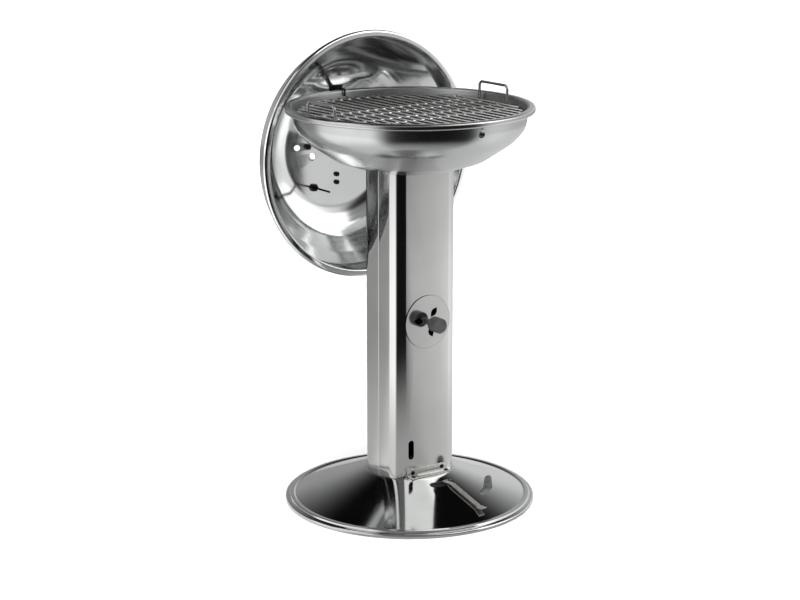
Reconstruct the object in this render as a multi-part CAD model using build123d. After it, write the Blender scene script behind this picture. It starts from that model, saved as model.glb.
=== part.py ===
from build123d import *
import math
import os

# Sizes in millimetres. The floor is z = 0, the column stands on the z axis and the front looks along -y.
sheet = 1.0
slip = 0.3
running_gap = 0.06

base_radius = 226.0
seat_radius = 80.0
seat_height = 58.0
cone_foot_radius = base_radius - 18.0
cone_foot_height = 10.5
hem_width = 11.0
strap_half_width = 12.5
strap_sheet = 2.0
pan_radius = 100.0
pan_height = 27.0
ash_opening_radius = 43.0
sieve_overlap = 8.0
sieve_rivet_radius = ash_opening_radius + sieve_overlap / 2
sieve_slot_inner = ash_opening_radius - 28.0
sieve_slot_outer = ash_opening_radius - 8.0
sieve_rivet_angles = (50.0, 170.0, 290.0)
sieve_slot_angles = (90.0, 210.0, 330.0)

column_half_width = 67.5
column_front = 53.0
column_front_half_width = column_half_width
column_bend = 22.0
seam_lip = 13.0
seam_shares = (0.07, 0.36, 0.64, 0.93)

bracket_half_width = 44.0
bracket_depth = 17.0
bracket_rise = 13.0
bracket_sheet = 1.5
bracket_screw = 36.0
bracket_screw_rise = 7.0
bar_radius = 5.0
bar_half_length = 29.0
lighting_x = -35.0
lighting_low = 96.0
lighting_high = 119.5
lighting_radius = 6.0

rim_height = 720.0
rim_radius = 218.0
rim_roll = 9.0
rim_width = 13.0
bowl_depth = 110.0
bowl_wall_radius = rim_radius - rim_width
bowl_crease_drop = 37.0
dish_outer_step = 21.0
dish_outer_drop = 60.0
dish_inner_step = 71.0
dish_inner_drop = 94.0
bowl_floor_radius = 84.0
chimney_radius = 40.0
bolt_step = 12.0

fire_step = 40.0
fire_wire = 2.5
fire_rod = 2.0
fire_rod_count = 15

grate_step = 10.0
grate_radius = bowl_wall_radius - grate_step
grate_wire = 2.5
grate_rod = 1.8
grate_rod_count = 20
grate_rod_pitch = grate_radius * 2 / (grate_rod_count + 0.9)
cross_wire_outer = 66.0
cross_wire_inner = 25.0
grate_turn = 2.5
handle_rise = 22.0
handle_top = rim_height + handle_rise
handle_half_width = 38.0
rest_drop = 19.0
rest_angles = (-90.0, 30.0, 150.0)

regulator_height = 340.0
regulator_radius = 48.0
regulator_sheet = 1.2
vane_angles = (50.0, 170.0, 290.0)
vane_middle = 20.5
vane_length = 21.0
vane_width = 8.0
knob_radius = 13.5
knob_length = 39.0
knob_neck = 16.5
knob_neck_radius = 5.5

slot_inner_radius = 92.5
slot_outer_radius = 105.0
slot_start_angle = -104.0
slot_end_angle = -75.6
lever_angle = -82.5
lever_width = 9.0
lever_sheet = 2.0
lever_reach = 190.0
toe_radius = 149.0
toe_angle = -55.0
toe_facing = -92.0
toe_width = 20.0
toe_height = 26.0

lid_overlap = 5.0
lid_radius = rim_radius + lid_overlap
lid_depth = 110.0
lid_gap = 13.0
lid_wall_step = 12.0
lid_shoulder_share = 0.409
lid_shoulder_drop = 14.0
lid_haunch_step = 21.0
lid_haunch_drop = 48.0
lid_crease_drop = 70.0
hook_reach = 107.0
lid_flat_radius = hook_reach + 12.0
hook_wire = 2.2
vent_x = -63.4
vent_z = 5.4
vent_radius = 22.0
vent_hole = 7.5
vent_turn = 12.0
vent_angles = (55.0, 175.0, 295.0)
dial_x = -50.5
dial_z = -71.7
dial_radius = 20.0
foot_x = 0.0
foot_z = 59.3
handle_standoff = 34.0

column_floor = seat_height
column_top = rim_height - bowl_depth
lid_height = rim_height - hook_reach
lid_flat = rim_radius + sheet + lid_gap
lid_face = lid_flat - lid_depth
bracket_line = -column_front - bracket_depth * 0.553
grate_level = rim_height - rest_drop + slip + grate_wire


def cylinder_between(start, end, radius):
    start = Vector(*start)
    way = Vector(*end) - start
    return Solid.make_cylinder(radius, way.length, Plane(origin=start, z_dir=way))


def upright(radius, low, high, x=0.0, y=0.0):
    return cylinder_between((x, y, low), (x, y, high), radius)


def across(radius, near, far, x, z):
    return cylinder_between((x, near, z), (x, far, z), radius)


def block(x_span, y_span, z_span):
    size = [high - low for low, high in (x_span, y_span, z_span)]
    middle = [(high + low) / 2 for low, high in (x_span, y_span, z_span)]
    return Pos(*middle) * Box(*size)


def shifted_path(points, distance):
    lines = []
    for (ax, ay, _), (bx, by, _) in zip(points, points[1:]):
        length = math.hypot(bx - ax, by - ay)
        nx = -(by - ay) / length * distance
        ny = (bx - ax) / length * distance
        lines.append((ax + nx, ay + ny, bx + nx, by + ny))
    moved = [(lines[0][0], lines[0][1], 0.0)]
    for index in range(1, len(points) - 1):
        ax, ay, bx, by = lines[index - 1]
        cx, cy, dx, dy = lines[index]
        turn = (bx - ax) * (dy - cy) - (by - ay) * (dx - cx)
        bend = points[index][2]
        if abs(turn) < 1e-9:
            moved.append((bx, by, bend))
            continue
        step = ((cx - ax) * (dy - cy) - (cy - ay) * (dx - cx)) / turn
        moved_bend = max(bend - distance if turn > 0 else bend + distance, 0.0) if bend > 0 else 0.0
        moved.append((ax + step * (bx - ax), ay + step * (by - ay), moved_bend))
    moved.append((lines[-1][2], lines[-1][3], 0.0))
    return moved


def rounded_edges(points):
    edges = []
    here = Vector(points[0][0], points[0][1])
    for index in range(1, len(points)):
        corner = Vector(points[index][0], points[index][1])
        bend = points[index][2]
        if bend <= 0 or index == len(points) - 1:
            edges.append(Edge.make_line(here, corner))
            here = corner
            continue
        last = Vector(points[index - 1][0], points[index - 1][1])
        after = Vector(points[index + 1][0], points[index + 1][1])
        inward = (last - corner).normalized()
        onward = (after - corner).normalized()
        half = math.acos(max(-1.0, min(1.0, inward.dot(onward)))) / 2
        reach = bend / math.tan(half)
        first = corner + inward * reach
        second = corner + onward * reach
        middle = (inward + onward).normalized()
        summit = corner + middle * (bend / math.sin(half) - bend)
        edges.append(Edge.make_line(here, first))
        edges.append(Edge.make_three_point_arc(first, summit, second))
        here = second
    return edges


def strip_face(points, thickness):
    near = rounded_edges(points)
    moved = shifted_path(points, thickness)
    far = rounded_edges(moved)
    first_cap = Edge.make_line(Vector(*points[0][:2]), Vector(*moved[0][:2]))
    last_cap = Edge.make_line(Vector(*points[-1][:2]), Vector(*moved[-1][:2]))
    return Face(Wire(near + [last_cap] + far + [first_cap]))


def spun_sheet(points, thickness):
    return Rot(90, 0, 0) * Solid.revolve(strip_face(points, thickness), 360, Axis.Y)


def folded_sheet(points, thickness, low, high):
    return Pos(0, 0, low) * Solid.extrude(strip_face(points, thickness), Vector(0, 0, high - low))


def bent_wire(points, bend, radius):
    path = FilletPolyline(*points, radius=bend)
    section = Plane(origin=path @ 0, z_dir=path % 0) * Circle(radius)
    return sweep(section, path=path).solid()


def hexagon_nut(across_flats, height, hole):
    nut = extrude(RegularPolygon(across_flats / 2, 6, major_radius=False), height)
    return nut - Pos(0, 0, height / 2) * Cylinder(hole, height * 2)


def facing_back(shape, x, y, z):
    return Pos(x, y, z) * Rot(-90, 0, 0) * shape


def polar(radius, degrees):
    return radius * math.cos(math.radians(degrees)), radius * math.sin(math.radians(degrees))


def cone_height(radius):
    rise = (seat_height - cone_foot_height) / (cone_foot_radius - seat_radius)
    return cone_foot_height + (cone_foot_radius - radius) * rise


def save(name, solids):
    solids = solids if isinstance(solids, list) else [solids]
    flat = [one for shape in solids for one in shape.solids()]
    shape = flat[0] if len(flat) == 1 else Compound(children=flat)
    shape.label = name
    export_step(shape, f"parts/{name}.step")


def arc_slot(inner, outer, start, end, low, high):
    middle = (inner + outer) / 2
    width = outer - inner
    ring = upright(outer, low, high) - upright(inner, low - 1, high + 1)
    span = end - start
    wedge = Pos(0, 0, low) * extrude(make_face(Polyline(
        (0, 0), polar(outer * 2, start), polar(outer * 2, start + span / 2), polar(outer * 2, end), (0, 0))),
        high - low)
    slot = ring & wedge
    for angle in (start, end):
        slot = slot + upright(width / 2, low, high, *polar(middle, angle))
    return slot


def make_base():
    foot = [
        (base_radius - hem_width, 0.0, 0.0),
        (base_radius, 0.0, 3.6),
        (base_radius, 8.0, 3.6),
        (base_radius - 7.4, 8.0, 1.3),
        (base_radius - 9.0, 12.0, 1.6),
        (base_radius - 15.5, 12.0, 1.6),
        (cone_foot_radius, cone_foot_height, 2.0),
        (seat_radius, seat_height, 8.0),
        (ash_opening_radius, seat_height, 0.0),
    ]
    base = spun_sheet(foot, sheet)
    base = base - arc_slot(slot_inner_radius, slot_outer_radius, slot_start_angle + 3.2, slot_end_angle - 3.2, 20, 70)
    for angle in sieve_rivet_angles:
        base = base - upright(2.1, seat_height - 8, seat_height + 8, *polar(sieve_rivet_radius, angle))
    for x in (-bracket_screw, bracket_screw):
        base = base - upright(2.1, seat_height - 8, seat_height + 8, x, bracket_line)
    return base + make_toe_tab()


def make_toe_tab():
    x, y = polar(toe_radius, toe_angle)
    low = cone_height(toe_radius) - 3.0
    straight = toe_height - toe_width / 2
    tab = block((-toe_width / 2, toe_width / 2), (-0.8, 0.8), (0, straight))
    tab = tab + across(toe_width / 2, -0.8, 0.8, 0, straight)
    tab = Pos(x, y, low) * Rot(0, 0, toe_facing + 90) * tab
    skirt = [
        (cone_foot_radius, cone_foot_height - sheet / 2, 0.0),
        (seat_radius, seat_height - sheet / 2, 0.0),
        (seat_radius, 0.0, 0.0),
        (cone_foot_radius, 0.0, 0.0),
        (cone_foot_radius, cone_foot_height - sheet / 2, 0.0),
    ]
    under = Rot(90, 0, 0) * Solid.revolve(Face(Wire(rounded_edges(skirt))), 360, Axis.Y)
    return tab - under


def sieve_slot(angle):
    low = seat_height - 6
    high = seat_height + 6
    return arc_slot(sieve_slot_inner, sieve_slot_outer, angle - 22, angle + 22, low, high)


def make_ash_sieve():
    plate = upright(ash_opening_radius + sieve_overlap, seat_height, seat_height + sheet)
    plate = plate - upright(3.1, seat_height - 5, seat_height + 5)
    for angle in sieve_rivet_angles:
        plate = plate - upright(2.1, seat_height - 5, seat_height + 5, *polar(sieve_rivet_radius, angle))
    for angle in sieve_slot_angles:
        plate = plate - sieve_slot(angle)
    return plate


def make_sieve_rivets():
    rivets = []
    low = seat_height - sheet - 1.2
    top = seat_height + sheet
    for angle in sieve_rivet_angles:
        x, y = polar(sieve_rivet_radius, angle)
        rivets.append(upright(2.0, low, top + 1.2, x, y) + upright(3.4, top, top + 1.2, x, y)
                      + upright(3.4, low, low + 1.2, x, y))
    return rivets


def make_ash_valve():
    low = seat_height - 0.4 - sheet
    disc = upright(ash_opening_radius - 1.2, low, low + sheet)
    disc = disc - upright(3.0 + running_gap, low - 5, low + 5)
    for angle in sieve_slot_angles:
        disc = disc - sieve_slot(angle)
    for radius in (20, 34):
        disc = disc - upright(2.1, low - 5, low + 5, *polar(radius, lever_angle))
    return disc


def make_lever():
    top = seat_height - 0.4 - sheet
    gap = 5.0
    run = cone_height((slot_inner_radius + slot_outer_radius) / 2) + lever_sheet / 4
    points = [
        (14.0, top, 0.0),
        (slot_inner_radius - 40.0, top, 6.0),
        (slot_inner_radius - 18.5, run, 6.0),
        (slot_outer_radius + 7.0, run, 12.0),
        (lever_reach - 12.0, cone_height(lever_reach) + gap + 5.0, 4.0),
        (lever_reach, cone_height(lever_reach) + gap + 4.0, 0.0),
    ]
    section = strip_face(points, -lever_sheet)
    arm = Solid.extrude(section, Vector(0, 0, lever_width))
    arm = Rot(90, 0, 0) * (Pos(0, 0, -lever_width / 2) * arm)
    pad_low = cone_height(lever_reach) + gap
    shell = block((lever_reach - 12, lever_reach + 0.5), (-7, 7), (pad_low + 2.0, pad_low + 4.0))
    arm = Rot(0, 0, lever_angle) * (arm + shell)
    for radius in (20, 34):
        arm = arm - upright(2.1, top - 8, top + 8, *polar(radius, lever_angle))
    return arm


def make_lever_rivets():
    top = seat_height - 0.4
    low = top - sheet - lever_sheet
    rivets = []
    for radius in (20, 34):
        x, y = polar(radius, lever_angle)
        rivets.append(upright(2.0, low - 1.2, top, x, y) + upright(3.6, low - 1.2, low, x, y))
    return rivets


def make_valve_bolt():
    top = seat_height + sheet
    return upright(3.0, seat_height - 11, top + 1) + upright(6.0, top, top + 3.5)


def valve_floor():
    return seat_height - 0.4 - sheet


def make_valve_washer():
    top = valve_floor() - slip
    return upright(7.0, top - 1.2, top) - upright(3.1, top - 4, top + 2)


def make_valve_nut():
    return Pos(0, 0, valve_floor() - slip - 6.2) * hexagon_nut(10, 5, 3.05)


def make_pan_strap():
    reach = math.sqrt((base_radius - hem_width) ** 2 - strap_half_width ** 2) - 0.1
    return block((-strap_half_width, strap_half_width), (-reach, reach), (0, strap_sheet))


def make_ash_pan():
    floor = strap_sheet + sheet
    lip = strap_sheet + pan_height
    wall = [
        (0.0, floor, 0.0),
        (pan_radius - 6.0, floor, 6.0),
        (pan_radius, lip, 1.5),
        (pan_radius + 6.0, lip, 0.0),
    ]
    return spun_sheet(wall, -sheet)


def column_path(side):
    return [
        (-column_half_width + seam_lip, 0.0, 0.0),
        (-column_half_width, 0.0, 1.2),
        (-column_front_half_width, side * column_front, column_bend),
        (column_front_half_width, side * column_front, column_bend),
        (column_half_width, 0.0, 1.2),
        (column_half_width - seam_lip, 0.0, 0.0),
    ]


def vane(x, z, angle):
    bulge = ((vane_length / 2) ** 2 + (vane_width / 2) ** 2) / vane_width
    offset = bulge - vane_width / 2
    lens = Pos(0, offset, 0) * Cylinder(bulge, 40) & Pos(0, -offset, 0) * Cylinder(bulge, 40)
    dx = vane_middle * math.cos(math.radians(angle))
    dz = vane_middle * math.sin(math.radians(angle))
    return Pos(x + dx, -column_front, z + dz) * Rot(90, 0, 0) * Rot(0, 0, angle) * lens


def make_column_front():
    shell = folded_sheet(column_path(-1), sheet, column_floor, column_top)
    shell = shell - across(3.0 + running_gap, -column_front - 10, -column_front + 10, 0, regulator_height)
    for angle in vane_angles:
        shell = shell - vane(0, regulator_height, angle)
    for x, z in seam_points():
        shell = shell - across(2.1, -4, 4, x, z)
    near = -column_front - 10
    far = -column_front + 10
    sides = (lighting_x - lighting_radius, lighting_x + lighting_radius)
    hole = block(sides, (near, far), (lighting_low, lighting_high))
    for z in (lighting_low, lighting_high):
        hole = hole + across(lighting_radius, near, far, lighting_x, z)
    for x in (-bracket_screw, bracket_screw):
        shell = shell - across(2.1, near, far, x * 0.9, seat_height + bracket_screw_rise)
    return shell - hole


def make_column_rear():
    shell = folded_sheet(column_path(1), -sheet, column_floor, column_top)
    for x, z in seam_points():
        shell = shell - across(2.1, -4, 4, x, z)
    return shell


def seam_points():
    inset = column_half_width - seam_lip + 4.5
    height = column_top - column_floor
    return [(side * inset, column_floor + height * share) for side in (-1, 1) for share in seam_shares]


def make_seam_rivets():
    rivets = []
    for x, z in seam_points():
        rivets.append(across(2.0, -sheet - 1.2, sheet + 1.2, x, z) + across(3.6, -sheet - 1.2, -sheet, x, z)
                      + across(3.6, sheet, sheet + 1.2, x, z))
    return rivets


def make_column_head():
    corners = [
        (-column_half_width, 0), (-column_front_half_width, -column_front),
        (column_front_half_width, -column_front), (column_half_width, 0),
        (column_front_half_width, column_front), (-column_front_half_width, column_front)]
    face = make_face(Polyline(*corners, corners[0]))
    face = fillet(face.vertices().filter_by(lambda v: abs(v.Y) > 10), column_bend)
    face = offset(face, -sheet - 0.2)
    plate = Pos(0, 0, column_top - 3) * extrude(face, 3)
    for side in (-1, 1):
        middle = side * (column_half_width - 10)
        plate = plate - block((middle - 14, middle + 14), (-2.2, 2.2), (column_top - 10, column_top + 10))
    for x, y in bolt_places():
        plate = plate - upright(3.2, column_top - 10, column_top + 10, x, y)
    return plate - upright(chimney_radius, column_top - 10, column_top + 10)


def bolt_places():
    return [polar(chimney_radius + bolt_step, angle) for angle in (45, 135, 225, 315)]


def make_bowl_bolts():
    bolts = []
    for x, y in bolt_places():
        bolts.append(upright(3.0, column_top - 12, column_top + sheet + 1, x, y)
                     + upright(5.5, column_top + sheet, column_top + sheet + 3.2, x, y))
    return bolts


def make_bowl_nuts():
    low = column_top - 3 - 5
    return [Pos(x, y, low) * hexagon_nut(10, 5, 3.05) for x, y in bolt_places()]


def bowl_path():
    wall = bowl_wall_radius
    return [
        (chimney_radius + 1, column_top, 0.0),
        (bowl_floor_radius, column_top, 16.0),
        (wall - dish_inner_step, rim_height - dish_inner_drop, 60.0),
        (wall - dish_outer_step, rim_height - dish_outer_drop, 60.0),
        (wall - 1.0, rim_height - bowl_crease_drop, 10.0),
        (wall + 1.0, rim_height - sheet, 3.0),
        (rim_radius, rim_height - sheet, 3.5),
        (rim_radius, rim_height - sheet - rim_roll, 3.0),
        (rim_radius - 6.0, rim_height - sheet - rim_roll, 0.0),
    ]


def rest_shape(angle):
    tongue = block((bowl_wall_radius - 20, bowl_wall_radius + 0.6), (-5, 5), (-2, 0))
    return Rot(0, 0, angle) * Pos(0, 0, rim_height - rest_drop) * tongue


def rest_mouth(angle):
    mouth = block((bowl_wall_radius - 10, bowl_wall_radius + 10), (-6, 6), (0.0, 7))
    eye = cylinder_between((bowl_wall_radius - 10, 0, 12), (bowl_wall_radius + 4, 0, 12), 2.4)
    return Rot(0, 0, angle) * Pos(0, 0, rim_height - rest_drop - 7) * mouth, \
        Rot(0, 0, angle) * Pos(0, 0, rim_height - rest_drop - 7) * eye


def make_bowl():
    bowl = spun_sheet(bowl_path(), sheet)
    for x, y in bolt_places():
        bowl = bowl - upright(3.2, column_top - 5, column_top + 10, x, y)
    for angle in rest_angles:
        mouth, eye = rest_mouth(angle)
        bowl = bowl - mouth - eye + rest_shape(angle)
    return bowl


def fire_level():
    slope = (dish_inner_drop - dish_outer_drop) / (dish_inner_step - dish_outer_step)
    return rim_height - dish_inner_drop + (dish_inner_step - fire_step) * slope + fire_wire + 2.1


def make_fire_ring():
    return Pos(0, 0, fire_level()) * Torus(bowl_wall_radius - fire_step, fire_wire)


def make_fire_rods():
    rods = []
    radius = bowl_wall_radius - fire_step
    level = fire_level() + fire_wire + fire_rod + 0.1
    for index in range(fire_rod_count):
        x = (index - (fire_rod_count - 1) / 2) * radius * 2 / (fire_rod_count + 0.7)
        half = math.sqrt(radius ** 2 - x ** 2)
        rods.append(cylinder_between((x, -half, level), (x, half, level), fire_rod))
    return rods


def make_grate_rods():
    rods = []
    level = grate_level + grate_wire + grate_rod + 0.02
    for index in range(grate_rod_count):
        x = (index - (grate_rod_count - 1) / 2) * grate_rod_pitch
        half = math.sqrt(max((grate_radius + 1.5) ** 2 - x ** 2, 1.0))
        rods.append(cylinder_between((x, -half, level), (x, half, level), grate_rod))
    return rods


def make_grate_ring():
    return Pos(0, 0, grate_level) * Torus(grate_radius, grate_wire)


def make_cross_wires():
    wires = []
    for y in (-cross_wire_outer, -cross_wire_inner, cross_wire_inner, cross_wire_outer):
        half = math.sqrt((grate_radius - grate_wire) ** 2 - (abs(y) + grate_wire) ** 2) - 0.3
        wires.append(cylinder_between((-half, y, grate_level), (half, y, grate_level), grate_wire))
    return wires


def make_grate_handle(side):
    x = side * math.sqrt(grate_radius ** 2 - handle_half_width ** 2)
    low = grate_level + grate_wire + 0.02
    top = handle_top - grate_wire
    points = [(x, -handle_half_width, low), (x, -handle_half_width, top), (x, handle_half_width, top),
              (x, handle_half_width, low)]
    return bent_wire(points, 8.0, grate_wire)


def turned(shapes):
    return [Rot(0, 0, grate_turn) * shape for shape in shapes]


def make_regulator_disc():
    near = -column_front - slip - regulator_sheet
    disc = across(regulator_radius, near, near + regulator_sheet, 0, regulator_height)
    disc = disc - across(3.05, near - 5, near + 5, 0, regulator_height)
    for angle in vane_angles:
        disc = disc - vane(0, regulator_height, angle)
    return disc


def make_regulator_shaft():
    near = -column_front - slip - regulator_sheet - 14
    far = -column_front + sheet + 12
    return across(3.0, near, far, 0, regulator_height)


def make_regulator_knob():
    near = -column_front - slip - regulator_sheet
    knob = across(knob_radius, near - knob_length, near - knob_neck, 0, regulator_height)
    knob = chamfer(knob.edges().filter_by(GeomType.CIRCLE), 1.2)
    knob = knob + across(knob_neck_radius, near - knob_neck - 2, near, 0, regulator_height)
    return knob - across(3.05, near - 14.05, near + 1, 0, regulator_height)


def make_regulator_washer():
    near = -column_front + sheet + slip
    return across(8.0, near, near + 1.5, 0, regulator_height) - across(3.1, near - 2, near + 4, 0, regulator_height)


def make_regulator_nut():
    near = -column_front + sheet + slip + 1.5
    return facing_back(hexagon_nut(10, 5, 3.05), 0, near, regulator_height)


def make_foot_bracket():
    front = -column_front
    sides = (-bracket_half_width, bracket_half_width)
    plate = block(sides, (front - bracket_depth, front), (seat_height, seat_height + bracket_sheet))
    stand = block(sides, (front - bracket_sheet, front), (seat_height, seat_height + bracket_rise))
    bracket = plate + stand
    for x in (-bracket_screw, bracket_screw):
        bracket = bracket - upright(2.1, seat_height - 5, seat_height + 5, x, bracket_line)
        bracket = bracket - across(2.1, front - 10, front + 10, x * 0.9, seat_height + bracket_screw_rise)
    return bracket


def make_foot_bar():
    low = seat_height + bracket_sheet
    half = bar_half_length
    bar = cylinder_between((-half, bracket_line, low), (half, bracket_line, low), bar_radius)
    above = block((-half * 2, half * 2), (bracket_line - bar_radius * 2, bracket_line + bar_radius * 2),
                  (low, low + bar_radius * 2))
    return bar & above


def make_foot_screws():
    screws = []
    front = -column_front - bracket_sheet
    top = seat_height + bracket_sheet
    for x in (-bracket_screw, bracket_screw):
        screws.append(upright(2.0, seat_height - 5, top + 0.1, x, bracket_line)
                      + upright(3.8, top, top + 2.4, x, bracket_line))
        z = seat_height + bracket_screw_rise
        screws.append(across(2.0, front - 0.1, front + bracket_sheet + 5, x * 0.9, z)
                      + across(3.8, front - 2.4, front, x * 0.9, z))
    return screws


def lid_path():
    wall = lid_radius - lid_wall_step
    shoulder = lid_flat_radius + (wall - lid_flat_radius) * lid_shoulder_share
    return [
        (0.0, lid_depth, 0.0),
        (lid_flat_radius, lid_depth, 12.0),
        (shoulder, lid_depth - lid_shoulder_drop, 60.0),
        (wall - lid_haunch_step, lid_depth - lid_haunch_drop, 50.0),
        (wall - 1.0, lid_depth - lid_crease_drop, 10.0),
        (wall + 1.0, sheet, 3.0),
        (lid_radius, sheet, 3.5),
        (lid_radius, sheet + rim_roll, 3.0),
        (lid_radius - 6.0, sheet + rim_roll, 0.0),
    ]


def make_lid():
    shell = Solid.revolve(strip_face(lid_path(), -sheet), 360, Axis.Y)
    shell = Pos(0, lid_face, lid_height) * shell
    near = lid_flat - 20
    far = lid_flat + 20
    shell = shell - across(3.1, near, far, vent_x, lid_height + vent_z)
    for angle in vent_angles:
        dx, dz = polar(vent_radius, angle)
        shell = shell - across(vent_hole, near, far, vent_x + dx, lid_height + vent_z + dz)
    shell = shell - across(3.2, near, far, dial_x, lid_height + dial_z)
    for x, z in handle_bolt_places():
        shell = shell - across(2.6, near, far, x, z)
    for x in (-9, 9):
        shell = shell - across(2.1, near, far, x, lid_height + hook_level())
    return shell


def hook_level():
    return hook_reach + slip + hook_wire


def inner_flat():
    return lid_flat - sheet


def handle_bolt_places():
    places = []
    for side in (-1, 1):
        for step in (-7.5, 7.5):
            places.append((-side * foot_x, lid_height + side * foot_z + step))
    return places


def make_lid_hook():
    level = lid_height + hook_level()
    wall_inside = bowl_wall_radius - hook_wire - 1.2
    points = [(0, inner_flat() - 1.6, level), (0, wall_inside, level), (0, wall_inside, rim_height - 10.5)]
    return bent_wire(points, 3.2, hook_wire)


def make_hook_plate():
    level = lid_height + hook_level()
    near = inner_flat() - 1.6
    plate = block((-14, 14), (near, inner_flat()), (level - 5, level + 5))
    for x in (-9, 9):
        plate = plate - across(2.1, near - 4, near + 6, x, level)
    return plate


def make_hook_rivets():
    level = lid_height + hook_level()
    near = inner_flat() - 1.6
    rivets = []
    for x in (-9, 9):
        rivets.append(across(2.0, near - 1.2, lid_flat + 1.2, x, level) + across(3.4, near - 1.2, near, x, level)
                      + across(3.4, lid_flat, lid_flat + 1.2, x, level))
    return rivets


def handle_ends():
    return (foot_x, lid_height - foot_z), (-foot_x, lid_height + foot_z)


def make_handle_feet():
    feet = []
    for x, z in handle_ends():
        foot = block((x - 8, x + 8), (lid_flat, lid_flat + handle_standoff), (z - 13, z + 13))
        foot = fillet(foot.edges().filter_by(Axis.Y), 5)
        for step in (-7.5, 7.5):
            foot = foot - across(2.55, lid_flat - 1, lid_flat + 12.2, x, z + step)
        feet.append(foot)
    return feet


def make_handle_bar():
    (ax, az), (bx, bz) = handle_ends()
    length = math.hypot(bx - ax, bz - az) + 44
    tilt = math.degrees(math.atan2(bx - ax, bz - az))
    bar = extrude(SlotOverall(length, 20, rotation=90), 12)
    bar = fillet(bar.edges().filter_by(Plane.XY), 3)
    bar = Rot(-90, 0, 0) * bar
    return Pos((ax + bx) / 2, lid_flat + handle_standoff, (az + bz) / 2) * Rot(0, tilt, 0) * bar


def make_handle_bolts():
    return [across(2.5, inner_flat() - 6, lid_flat + 12, x, z) for x, z in handle_bolt_places()]


def make_handle_nuts():
    return [facing_back(hexagon_nut(8, 4, 2.55), x, inner_flat() - 4, z) for x, z in handle_bolt_places()]


def make_vent_damper():
    near = lid_flat + slip
    z = lid_height + vent_z
    disc = across(34, near, near + sheet, vent_x, z) - across(3.0 + running_gap, near - 4, near + 4, vent_x, z)
    for angle in vent_angles:
        dx, dz = polar(vent_radius, angle + vent_turn)
        disc = disc - across(vent_hole, near - 4, near + 4, vent_x + dx, z + dz)
    dx, dz = polar(29.5, 240 + vent_turn)
    tab = block((vent_x + dx - 5, vent_x + dx + 5), (near, near + 11), (z + dz - 0.8, z + dz + 0.8))
    return disc + tab


def make_vent_pivot():
    z = lid_height + vent_z
    far = lid_flat + slip + sheet + slip
    return across(3.0, inner_flat() - 7, far + 2, vent_x, z) + across(6.0, far, far + 2.4, vent_x, z)


def make_vent_nut():
    return facing_back(hexagon_nut(10, 5, 3.05), vent_x, inner_flat() - 5, lid_height + vent_z)


def make_dial_case():
    z = lid_height + dial_z
    low = lid_flat
    case = across(9, low, low + 4, dial_x, z) + across(dial_radius, low + 4, low + 14, dial_x, z)
    case = case - across(dial_radius - 1.8, low + 7, low + 20, dial_x, z)
    return case - across(3.05, low - 2, low + 9, dial_x, z)


def make_dial_pointer():
    z = lid_height + dial_z
    low = lid_flat + 8.2
    needle = block((dial_x - 1.2, dial_x + 1.2), (low, low + 1.0), (z - 5, z + 14))
    return needle + across(3.2, low, low + 1.0, dial_x, z)


def make_dial_probe():
    z = lid_height + dial_z
    stem = across(3.0, inner_flat() - 9, lid_flat + 8.0, dial_x, z)
    return stem + across(1.8, inner_flat() - 52, inner_flat() - 8, dial_x, z)


def make_dial_nut():
    return facing_back(hexagon_nut(13, 5, 3.05), dial_x, inner_flat() - 5, lid_height + dial_z)


os.makedirs("parts", exist_ok=True)
save("base_cone", make_base())
save("pan_strap", make_pan_strap())
save("ash_pan", make_ash_pan())
save("ash_sieve", make_ash_sieve())
save("sieve_rivets", make_sieve_rivets())
save("valve_bolt", make_valve_bolt())
save("valve_washer", make_valve_washer())
save("valve_nut", make_valve_nut())
save("ash_valve", make_ash_valve())
save("ash_lever", make_lever())
save("lever_rivets", make_lever_rivets())
save("column_front", make_column_front())
save("column_rear", make_column_rear())
save("seam_rivets", make_seam_rivets())
save("column_head", make_column_head())
save("foot_bracket", make_foot_bracket())
save("foot_bar", make_foot_bar())
save("foot_screws", make_foot_screws())
save("bowl", make_bowl())
save("bowl_bolts", make_bowl_bolts())
save("bowl_nuts", make_bowl_nuts())
save("fire_ring", make_fire_ring())
save("fire_rods", make_fire_rods())
save("grate_ring", turned([make_grate_ring()]))
save("grate_rods", turned(make_grate_rods()))
save("grate_cross_wires", turned(make_cross_wires()))
save("grate_handle_left", turned([make_grate_handle(-1)]))
save("grate_handle_right", turned([make_grate_handle(1)]))
save("regulator_disc", make_regulator_disc())
save("regulator_shaft", make_regulator_shaft())
save("regulator_knob", make_regulator_knob())
save("regulator_washer", make_regulator_washer())
save("regulator_nut", make_regulator_nut())
save("lid_shell", make_lid())
save("lid_hook", make_lid_hook())
save("hook_plate", make_hook_plate())
save("hook_rivets", make_hook_rivets())
save("lid_handle_feet", make_handle_feet())
save("lid_handle_bar", make_handle_bar())
save("handle_bolts", make_handle_bolts())
save("handle_nuts", make_handle_nuts())
save("vent_damper", make_vent_damper())
save("vent_pivot", make_vent_pivot())
save("vent_nut", make_vent_nut())
save("dial_case", make_dial_case())
save("dial_pointer", make_dial_pointer())
save("dial_probe", make_dial_probe())
save("dial_nut", make_dial_nut())
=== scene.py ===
import math

import bmesh
import bpy
from mathutils import Matrix, Vector


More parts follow.
